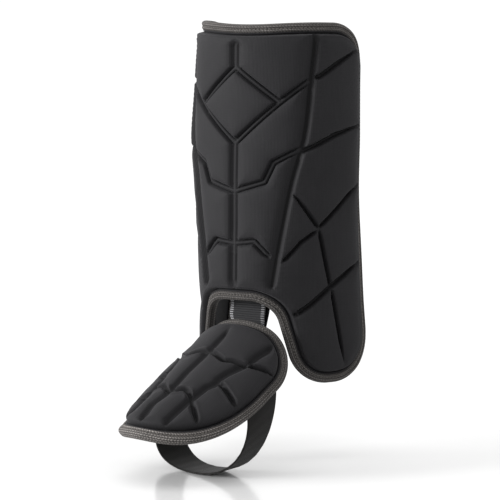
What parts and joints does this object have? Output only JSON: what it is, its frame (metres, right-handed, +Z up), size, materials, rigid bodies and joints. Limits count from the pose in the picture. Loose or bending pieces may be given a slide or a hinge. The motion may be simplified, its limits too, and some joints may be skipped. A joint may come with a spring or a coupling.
{
  "type": "batter's leg guard",
  "caption": "Moulded foam leg guard for a batter: grooved shin pad with side flaps, domed foot pad, woven edge bindings, webbing link at the ankle and elastic strap under the sole.",
  "frame": {"origin": "on the inner face of the shin pad, on its centre line, about halfway up, where the guard sits on the shin", "axes": "+Z up along the shin, -Y towards the front of the guard, +Y towards the leg, +X to the right of someone who looks at the front"},
  "size_m": [0.175, 0.2313, 0.4133],
  "materials": {
    "pad_fabric": "fine black knit pressed over foam",
    "binding_tape": "ribbed brown-grey woven tape with stitch rows",
    "webbing": "black ribbed webbing with light dashed edges",
    "backing": "plain dark woven strip",
    "elastic": "matt black woven elastic"
  },
  "bodies": {
    "root": {"shin_pad": "pad_fabric", "shin_binding": "binding_tape", "link_webbing": "webbing", "link_backing": "backing", "foot_pad": "pad_fabric", "foot_binding": "binding_tape", "foot_strap": "elastic"}
  },
  "joints": []
}
